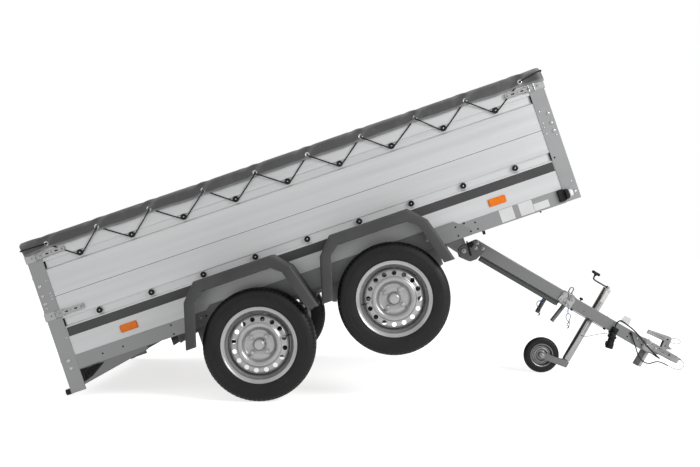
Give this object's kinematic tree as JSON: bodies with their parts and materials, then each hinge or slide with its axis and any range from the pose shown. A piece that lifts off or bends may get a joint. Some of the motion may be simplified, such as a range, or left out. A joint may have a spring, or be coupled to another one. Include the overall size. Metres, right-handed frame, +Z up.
{
  "type": "tandem-axle tipping utility trailer",
  "caption": "Open-box utility trailer on two axles with a flat cover, tipped on its rear feet, with a hinged drawbar, ball coupling and jockey wheel.",
  "frame": {"origin": "on the floor, half-way along and across the tipped trailer", "axes": "+X forwards, towards the coupling; +Y to the left; +Z up"},
  "size_m": [3.5368, 1.724, 1.627],
  "materials": {
    "galvanised_steel": "galvanised, satin",
    "zinc_plated": "zinc plated",
    "spring_steel": "painted black",
    "board_aluminium": "rolled, satin",
    "plywood": "phenolic faced",
    "cover_fabric": "coated cloth",
    "guard_plastic": "moulded, matt",
    "black_plastic": "matt",
    "black_rubber": "matt",
    "wheel_tyre": "matt",
    "rim_paint": "silver paint",
    "lamp_red": "clear moulded",
    "lamp_white": "clear moulded",
    "reflector_amber": "clear moulded"
  },
  "bodies": {
    "bed": {"side_rails": "galvanised_steel", "rail_doublers": "galvanised_steel", "cross_members": "galvanised_steel", "axle_subframe": "galvanised_steel", "floor_panel": "plywood", "side_boards_lower": "board_aluminium", "side_boards_upper": "board_aluminium", "front_boards": "board_aluminium", "rear_board_upper": "board_aluminium", "corner_posts": "galvanised_steel", "corner_latches": "zinc_plated", "lacing_knobs": "black_plastic", "cover_sheet": "cover_fabric", "mudguards": "guard_plastic", "axles": "galvanised_steel", "leaf_springs": "spring_steel", "spring_hangers": "galvanised_steel", "post_gussets": "galvanised_steel", "rear_feet": "black_rubber", "lamp_bar": "galvanised_steel", "tail_lamps": "lamp_red", "marker_lamps": "lamp_white", "side_reflectors": "reflector_amber", "pivot_bracket": "galvanised_steel", "hinge_pins": "zinc_plated"},
    "tailgate": {"tailgate_board": "board_aluminium", "tailgate_hinges": "zinc_plated"},
    "drawbar": {"rear_beam": "galvanised_steel", "front_tube": "galvanised_steel", "pivot_plates": "galvanised_steel", "under_channel": "galvanised_steel", "beam_clamp": "zinc_plated", "lock_bars": "zinc_plated", "coupling_body": "zinc_plated", "coupling_handle": "zinc_plated", "trailer_cable": "black_rubber", "safety_cable": "black_rubber", "cable_plug": "black_plastic", "plug_holder": "black_plastic", "cable_clips": "black_plastic", "jockey_clamp": "zinc_plated"},
    "jockey_tube": {"jockey_outer_tube": "zinc_plated", "jockey_crank": "zinc_plated"},
    "jockey_leg": {"jockey_inner_tube": "zinc_plated"},
    "jockey_fork": {"jockey_fork": "zinc_plated"},
    "jockey_wheel": {"jockey_tyre": "wheel_tyre", "jockey_rim": "rim_paint"},
    "wheel_rear_right": {"tyre_rear_right": "wheel_tyre", "rim_rear_right": "rim_paint", "hub_rear_right": "zinc_plated"},
    "wheel_rear_left": {"tyre_rear_left": "wheel_tyre", "rim_rear_left": "rim_paint", "hub_rear_left": "zinc_plated"},
    "wheel_front_right": {"tyre_front_right": "wheel_tyre", "rim_front_right": "rim_paint", "hub_front_right": "zinc_plated"},
    "wheel_front_left": {"tyre_front_left": "wheel_tyre", "rim_front_left": "rim_paint", "hub_front_left": "zinc_plated"}
  },
  "joints": [
    {"name": "tip_pivot", "type": "hinge", "parent": "bed", "child": "drawbar", "pos_m": [0.51686, 0, 0.70594], "axis": [0, -1, 0], "range_deg": [0, 49.15]},
    {"name": "tailgate_hinge", "type": "hinge", "parent": "bed", "child": "tailgate", "pos_m": [-1.55152, 0, 0.12236], "axis": [0, -1, 0], "range_deg": [0, 175]},
    {"name": "jockey_clamp_slide", "type": "slide", "parent": "drawbar", "child": "jockey_tube", "axis": [0.5045, 0, 0.8634], "range_m": [0, 0.165]},
    {"name": "jockey_spindle", "type": "slide", "parent": "jockey_tube", "child": "jockey_leg", "axis": [-0.5045, 0, -0.8634], "range_m": [0, 0.2]},
    {"name": "jockey_swivel", "type": "hinge", "parent": "jockey_leg", "child": "jockey_fork", "pos_m": [1.12246, 0.09, 0.06945], "axis": [0.5045, 0, 0.8634], "continuous": true},
    {"name": "jockey_wheel_spin", "type": "hinge", "parent": "jockey_fork", "child": "jockey_wheel", "pos_m": [0.98194, 0.09, 0.1025], "axis": [0, 1, 0], "continuous": true},
    {"name": "wheel_rear_right_spin", "type": "hinge", "parent": "bed", "child": "wheel_rear_right", "pos_m": [-0.55773, -0.7625, 0.2725], "axis": [0, 1, 0], "continuous": true},
    {"name": "wheel_rear_left_spin", "type": "hinge", "parent": "bed", "child": "wheel_rear_left", "pos_m": [-0.55773, 0.7625, 0.2725], "axis": [0, 1, 0], "continuous": true},
    {"name": "wheel_front_right_spin", "type": "hinge", "parent": "bed", "child": "wheel_front_right", "pos_m": [0.08675, -0.7625, 0.49252], "axis": [0, 1, 0], "continuous": true},
    {"name": "wheel_front_left_spin", "type": "hinge", "parent": "bed", "child": "wheel_front_left", "pos_m": [0.08675, 0.7625, 0.49252], "axis": [0, 1, 0], "continuous": true}
  ]
}
